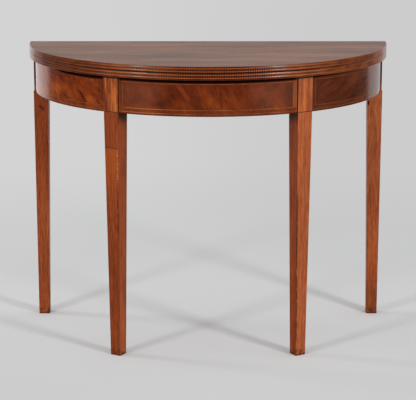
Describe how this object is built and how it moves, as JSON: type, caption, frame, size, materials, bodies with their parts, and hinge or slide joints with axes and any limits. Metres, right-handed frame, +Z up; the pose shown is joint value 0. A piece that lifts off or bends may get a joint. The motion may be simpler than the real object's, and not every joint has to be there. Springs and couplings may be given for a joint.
{
  "type": "demilune fold-over table",
  "caption": "Half-round wooden table with a fold-over top leaf on end hinges, square tapered legs, and rear legs that swing out on wooden knuckles to carry the open leaf.",
  "frame": {"origin": "on the floor under the middle of the closed table's bounding box", "axes": "+Z up, +X to the right along the straight back edge, -Y towards the half-round front"},
  "size_m": [0.9144, 0.4607, 0.722],
  "materials": {
    "mahogany_top": "polished, straight grain along the width",
    "mahogany_legs": "satin polish, grain along the leg",
    "figured_veneer": "polished, figured veneer",
    "die_veneer": "polished, upright grain",
    "light_inlay": "polished, pale line inlay",
    "dark_inlay": "polished, dark line inlay",
    "dotted_banding": "polished, light dots on dark ground",
    "pine_core": "planed, unfinished and aged",
    "secondary_wood": "planed, unfinished and aged",
    "brass": "dull, aged",
    "iron": "dark, aged"
  },
  "bodies": {
    "frame": {"lower_leaf": "mahogany_top", "lower_edge_banding": "dotted_banding", "apron_left": "pine_core", "apron_veneer_left": "figured_veneer", "stringing_left": "light_inlay", "apron_centre": "pine_core", "apron_veneer_centre": "figured_veneer", "stringing_centre": "light_inlay", "apron_right": "pine_core", "apron_veneer_right": "figured_veneer", "stringing_right": "light_inlay", "front_leg_left": "mahogany_legs", "die_veneer_left": "die_veneer", "knuckle_pin_left": "iron", "leaf_hinge_pin_left": "brass", "lower_hinge_plate_left": "brass", "front_leg_right": "mahogany_legs", "die_veneer_right": "die_veneer", "knuckle_pin_right": "iron", "leaf_hinge_pin_right": "brass", "lower_hinge_plate_right": "brass", "die_lines": "dark_inlay", "back_rail": "pine_core", "hinge_rail": "secondary_wood", "medial_brace": "pine_core", "apron_glue_blocks": "pine_core", "back_rail_glue_blocks": "pine_core", "top_screws": "iron", "hinge_rail_screws": "iron", "lower_hinge_screws": "brass"},
    "top_leaf": {"upper_leaf": "mahogany_top", "upper_edge_banding": "dotted_banding", "upper_hinge_plate_left": "brass", "upper_hinge_plate_right": "brass", "upper_hinge_screws": "brass"},
    "left_fly": {"fly_rail_left": "secondary_wood", "fly_leg_left": "mahogany_legs", "fly_leg_pegs_left": "secondary_wood"},
    "right_fly": {"fly_rail_right": "secondary_wood", "fly_leg_right": "mahogany_legs", "fly_leg_pegs_right": "secondary_wood"}
  },
  "joints": [
    {"name": "leaf_fold", "type": "hinge", "parent": "frame", "child": "top_leaf", "pos_m": [0, 0.22715, 0.706], "axis": [-1, 0, 0], "range_deg": [0, 180]},
    {"name": "left_fly_swing", "type": "hinge", "parent": "frame", "child": "left_fly", "pos_m": [-0.13, 0.21535, 0.64825], "axis": [0, 0, -1], "range_deg": [0, 90]},
    {"name": "right_fly_swing", "type": "hinge", "parent": "frame", "child": "right_fly", "pos_m": [0.13, 0.21535, 0.64825], "axis": [0, 0, 1], "range_deg": [0, 90]}
  ]
}
